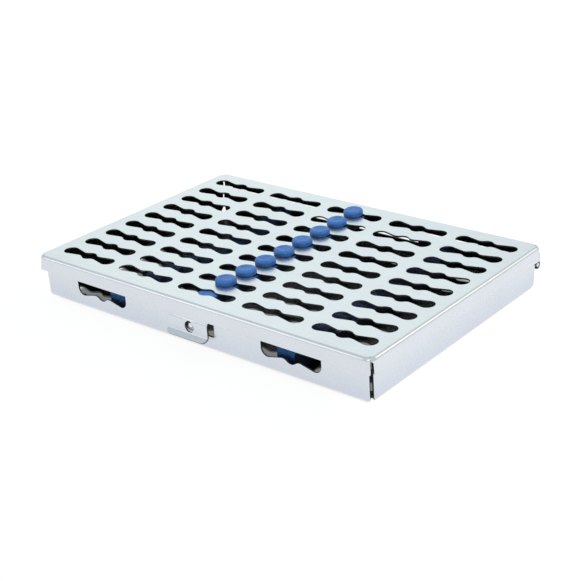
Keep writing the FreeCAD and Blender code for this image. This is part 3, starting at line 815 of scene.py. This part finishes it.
def painted_foot_shade(tree, color):
    """Painted reflection of shade: deepen a colour down the walls, which would mirror the shade beside the
    box.
    """
    axes = tree.nodes.new("ShaderNodeSeparateXYZ")
    tree.links.new(tree.nodes.new("ShaderNodeTexCoord").outputs["Object"], axes.inputs["Vector"])
    shade = ramp(tree, axes.outputs["Z"], FOOT_PAINTED_SHADE, (1, 1, 1, 1), *FOOT_RANGE)
    product = tree.nodes.new("ShaderNodeVectorMath")
    product.operation = "MULTIPLY"
    tree.links.new(color, product.inputs[0])
    tree.links.new(shade, product.inputs[1])
    return product.outputs["Vector"]


def steel(name, dark, light, rough, grain=(0.05, 1.0, 1.0), inside=False):
    """Rolled and lightly polished stainless sheet, with its grain along X."""
    material, tree, shader = nodes_of(name)
    shader.inputs["Metallic"].default_value = 1.0
    mottle = noise(tree, MOTTLE_SCALE, (1.0, 1.0, 1.0))
    color = ramp(tree, mottle, dark, light)
    # inner steel gets painted shade where closed in; the other steel gets painted reflected shade down the
    # walls
    color = painted_enclosed_shade(tree, color, *STEEL_PAINTED_SHADE) if inside else painted_foot_shade(tree, color)
    tree.links.new(color, shader.inputs["Base Color"])
    streaks = noise(tree, GRAIN_SCALE, grain)
    tree.links.new(spread(tree, streaks, *rough), shader.inputs["Roughness"])
    bump(tree, shader, streaks, 0.05, GRAIN_DEPTH)
    return material


def silicone(name, dark, light):
    """Slightly translucent silicone with a crinkled skin."""
    material, tree, shader = nodes_of(name)
    mottle = noise(tree, 120.0, (1.0, 1.0, 1.0))
    # painted shade: the silicone is darkened where the shut box closes it in
    color = painted_enclosed_shade(tree, ramp(tree, mottle, dark, light), *SILICONE_PAINTED_SHADE)
    tree.links.new(color, shader.inputs["Base Color"])
    crinkles = noise(tree, 620.0, (1.6, 0.6, 1.0))
    tree.links.new(spread(tree, crinkles, 0.38, 0.5), shader.inputs["Roughness"])
    shader.inputs["Sheen Weight"].default_value = 0.1
    shader.inputs["Specular IOR Level"].default_value = 0.35
    shader.inputs["Sheen Roughness"].default_value = 0.4
    shader.inputs["Sheen Tint"].default_value = (0.75, 0.88, 1.0, 1)
    shader.inputs["Subsurface Weight"].default_value = 0.12
    shader.inputs["Subsurface Radius"].default_value = (0.0006, 0.001, 0.003)
    shader.inputs["Subsurface Scale"].default_value = 1.0
    bump(tree, shader, crinkles, 0.9, 0.0008)
    return material


# ---- pieces ----
def add_piece(name, shape, materials, nodes, body=None):
    """Carry a shape from millimetres around the steel box to the frame of the part, as a visible piece."""
    bmesh.ops.translate(shape, verts=shape.verts, vec=SHIFT)
    bmesh.ops.scale(shape, verts=shape.verts, vec=(MM, MM, MM))
    mesh = bpy.data.meshes.new(name)
    shape.to_mesh(mesh)
    shape.free()
    for material in materials:
        mesh.materials.append(material)
    mesh.polygons.foreach_set("use_smooth", [True] * len(mesh.polygons))
    mesh.set_sharp_from_angle(angle=math.radians(SHARP_ANGLE))
    piece = bpy.data.objects.new(name, mesh)
    bpy.context.scene.collection.objects.link(piece)
    even = piece.modifiers.new("Even shading", "WEIGHTED_NORMAL")
    even.keep_sharp = True
    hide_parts(*nodes)
    if body:
        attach(piece, body)
    return piece


# ---- stage, light and camera, with lengths in metres ----
SKY = (0.70, 0.74, 0.75)
SOFTBOXES = [
    # direction, full inside, gone outside (degrees), colour
    ((-0.62, 0.69, 0.38), 2, 22, (0.41, 0.45, 0.40)),
    ((-0.62, -0.60, 0.50), 6, 18, (1.0, 0.96, 0.88)),
    ((0.42, 0.69, 0.60), 6, 20, (1.2, 1.1, 0.8)),
]
# the painted shadow under the box, along X and Y: its centre, and how far from there it starts to fade and is
# gone
SHADE_X = (-0.0026, 0.0835, 0.0891)
SHADE_Y = (0.003, 0.053, 0.059)
SHADE = 0.2                 # the paper's brightness there
# painted light on the paper: dimmer at the front left, growing toward the rear right
PAPER_PAINTED_DIM = 0.92           # the paper's brightness at the front left
PAPER_FADE = (0.0, 0.06)    # x + y between which it grows to 1, toward the rear right
PAPER_HALF = 6.0
CAMERA_PLACE = Vector((329.54, -375.73, 234.22)) * MM
CAMERA_AIM = Vector((10.27, -7.91, 9.6)) * MM
CAMERA_ROLL = math.radians(-3.843)
CAMERA_LENS = 76.72


def area_light(name, place, target, size, watts):
    light = bpy.data.lights.new(name, "AREA")
    light.shape = "RECTANGLE"
    light.size, light.size_y = size
    light.energy = watts
    holder = bpy.data.objects.new(name, light)
    holder.location = place
    holder.rotation_euler = (Vector(target) - Vector(place)).to_track_quat("-Z", "Y").to_euler()
    bpy.context.scene.collection.objects.link(holder)


def eased(tree, value, start, end, low, high):
    """A smooth step from one value to another."""
    node = tree.nodes.new("ShaderNodeMapRange")
    node.interpolation_type = "SMOOTHSTEP"
    node.inputs["From Min"].default_value = start
    node.inputs["From Max"].default_value = end
    node.inputs["To Min"].default_value = low
    node.inputs["To Max"].default_value = high
    tree.links.new(value, node.inputs["Value"])
    return node.outputs["Result"]


def combined(tree, operation, first, second):
    node = tree.nodes.new("ShaderNodeMath")
    node.operation = operation
    for socket, value in zip(node.inputs, (first, second)):
        tree.links.new(value, socket)
    return node.outputs["Value"]


def beyond_shade(tree, value, centre, start, end):
    """From 0 to 1 where a coordinate leaves the shade, to either side of its centre."""
    moved = tree.nodes.new("ShaderNodeMath")
    moved.operation = "SUBTRACT"
    moved.inputs[1].default_value = centre
    node = tree.nodes.new("ShaderNodeMath")
    node.operation = "ABSOLUTE"
    tree.links.new(value, moved.inputs[0])
    tree.links.new(moved.outputs["Value"], node.inputs[0])
    return eased(tree, node.outputs["Value"], start, end, 0.0, 1.0)


def floor_glow(tree):
    """The paper's glow: dimmed by a painted shadow under the box, and brighter to its right and rear by
    painted light.
    """
    place = tree.nodes.new("ShaderNodeTexCoord")
    axes = tree.nodes.new("ShaderNodeSeparateXYZ")
    tree.links.new(place.outputs["Object"], axes.inputs["Vector"])
    x, y = axes.outputs["X"], axes.outputs["Y"]
    clear_x = beyond_shade(tree, x, *SHADE_X)
    clear_y = beyond_shade(tree, y, *SHADE_Y)
    lit = eased(tree, combined(tree, "MAXIMUM", clear_x, clear_y), 0.0, 1.0, SHADE, 1.0)
    painted_light_rear_right = eased(tree, combined(tree, "ADD", x, y), *PAPER_FADE, PAPER_PAINTED_DIM, 1.0)
    return combined(tree, "MULTIPLY", lit, painted_light_rear_right)


def paper_floor():
    """The bright white surface that the cassette stands on."""
    mesh = bpy.data.meshes.new("floor")
    corners = [(x * PAPER_HALF, y * PAPER_HALF, 0) for x, y in ((-1, -1), (1, -1), (1, 1), (-1, 1))]
    mesh.from_pydata(corners, [], [(0, 1, 2, 3)])
    floor = bpy.data.objects.new("floor", mesh)
    bpy.context.scene.collection.objects.link(floor)
    material, tree, shader = nodes_of("paper")
    shader.inputs["Base Color"].default_value = (0.1, 0.1, 0.1, 1)
    shader.inputs["Roughness"].default_value = 0.9
    shader.inputs["Specular IOR Level"].default_value = 0.0
    shader.inputs["Emission Color"].default_value = (1, 1, 1, 1)
    tree.links.new(floor_glow(tree), shader.inputs["Emission Strength"])
    mesh.materials.append(material)


def soft_lobe(tree, total, ray, direction, inner, outer, color):
    """Add a soft-edged round light to the sky, full inside one angle and gone outside the other."""
    toward = tree.nodes.new("ShaderNodeVectorMath")
    toward.operation = "DOT_PRODUCT"
    toward.inputs[1].default_value = Vector(direction).normalized()
    fall = tree.nodes.new("ShaderNodeMapRange")
    fall.interpolation_type = "SMOOTHSTEP"
    fall.inputs["From Min"].default_value = math.cos(math.radians(outer))
    fall.inputs["From Max"].default_value = math.cos(math.radians(inner))
    light = tree.nodes.new("ShaderNodeVectorMath")
    light.operation = "SCALE"
    light.inputs[0].default_value = color
    added = tree.nodes.new("ShaderNodeVectorMath")
    added.operation = "ADD"
    tree.links.new(ray, toward.inputs[0])
    tree.links.new(toward.outputs["Value"], fall.inputs["Value"])
    tree.links.new(fall.outputs["Result"], light.inputs["Scale"])
    tree.links.new(total, added.inputs[0])
    tree.links.new(light.outputs["Vector"], added.inputs[1])
    return added.outputs["Vector"]


def studio():
    """An even pale studio, with softboxes that light the folds of the sheet."""
    world = bpy.data.worlds.new("studio")
    world.use_nodes = True
    tree = world.node_tree
    ray = tree.nodes.new("ShaderNodeTexCoord").outputs["Generated"]
    even = tree.nodes.new("ShaderNodeCombineXYZ")
    for axis, value in zip("XYZ", SKY):
        even.inputs[axis].default_value = value
    total = even.outputs["Vector"]
    for direction, inner, outer, color in SOFTBOXES:
        total = soft_lobe(tree, total, ray, direction, inner, outer, color)
    tree.links.new(total, tree.nodes["Background"].inputs["Color"])
    bpy.context.scene.world = world


def camera():
    """A view from the front right and above, with a slight roll."""
    forward = (CAMERA_AIM - CAMERA_PLACE).normalized()
    level = forward.cross(Vector((0, 0, 1))).normalized()
    upright = level.cross(forward)
    right = level * math.cos(CAMERA_ROLL) + upright * math.sin(CAMERA_ROLL)
    up = upright * math.cos(CAMERA_ROLL) - level * math.sin(CAMERA_ROLL)
    lens = bpy.data.cameras.new("camera")
    lens.lens = CAMERA_LENS
    lens.sensor_width = 36.0
    lens.clip_start = 0.01
    holder = bpy.data.objects.new("camera", lens)
    holder.matrix_world = Matrix((right, up, -forward)).transposed().to_4x4()
    holder.location = CAMERA_PLACE
    bpy.context.scene.collection.objects.link(holder)
    bpy.context.scene.camera = holder


# ---- the cassette ----
outer_steel = steel("steel_sheet", (0.685, 0.715, 0.765, 1), (0.705, 0.74, 0.785, 1), (0.24, 0.34))
# the inner faces: a darker copy of the outer steel as painted shade, darkened further by painted shade where
# the shut box closes them in
shaded_inner_steel = steel("steel_inner_painted_shade", (0.48, 0.495, 0.52, 1), (0.56, 0.575, 0.60, 1), (0.26, 0.36),
                    inside=True)
# the cut edges: dark steel as painted shade, standing in for the shadow in gaps and slot rims
shaded_edge_steel = steel("steel_edge_painted_shade", (0.10, 0.105, 0.115, 1), (0.17, 0.175, 0.185, 1), (0.3, 0.45))
polished = steel("steel_polished", (0.70, 0.72, 0.75, 1), (0.8, 0.82, 0.85, 1), (0.1, 0.16),
                 grain=(1, 1, 1))
blue = silicone("silicone_blue", (0.033, 0.165, 0.52, 1), (0.05, 0.215, 0.62, 1))
SHEET_STEEL = [outer_steel, shaded_inner_steel, shaded_edge_steel]

lid_mesh, tongue_mesh = lid_and_tongue()
add_piece("lid_sheet", lid_mesh, SHEET_STEEL, ["lid_cover"], "lid")
tongue = add_piece("latch_tongue", tongue_mesh, SHEET_STEEL, ["latch_tab"])
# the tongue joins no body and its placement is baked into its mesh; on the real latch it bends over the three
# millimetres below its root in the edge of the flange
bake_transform(tongue)
add_piece("tray_sheet", tray_sheet(), SHEET_STEEL, ["base_tray"], "base")

strip_length = STRIP_HIGH.y - STRIP_LOW.y
strip_width = STRIP_HIGH.x - STRIP_LOW.x
strip_height = STRIP_HIGH.z - SHIFT.z - SHEET
strip_x = (STRIP_HIGH.x + STRIP_LOW.x) / 2
notched = bar_from(notched_outline(strip_length, strip_height), strip_width)
for side, name in ((-1, "left"), (1, "right")):
    add_piece("silicone_" + name, silicone_strip(notched, side * strip_x, SHEET, flip=False), [blue],
              ["base_strip_" + name], "base")
lid_strip_height = BOX_HEIGHT - SHEET - (LID_STRIP_LOW.z - SHIFT.z)
plain = flat_bar(strip_length, lid_strip_height, strip_width)
add_piece("silicone_lid", silicone_strip(plain, 0, BOX_HEIGHT - SHEET, flip=True), [blue],
          ["lid_strip"], "lid")
add_piece("catch_rivet", rivet(), [polished], ["latch_stud"], "base")
add_piece("hinge_rod", pin(), [polished], ["hinge_pin"], "base")

# ---- the picture ----
bpy.context.scene.view_settings.view_transform = "Standard"
studio()
area_light("key", place=(0.5, -0.75, 0.8), target=(0, 0, 0), size=(0.5, 0.5), watts=1.0)
paper_floor()
camera()
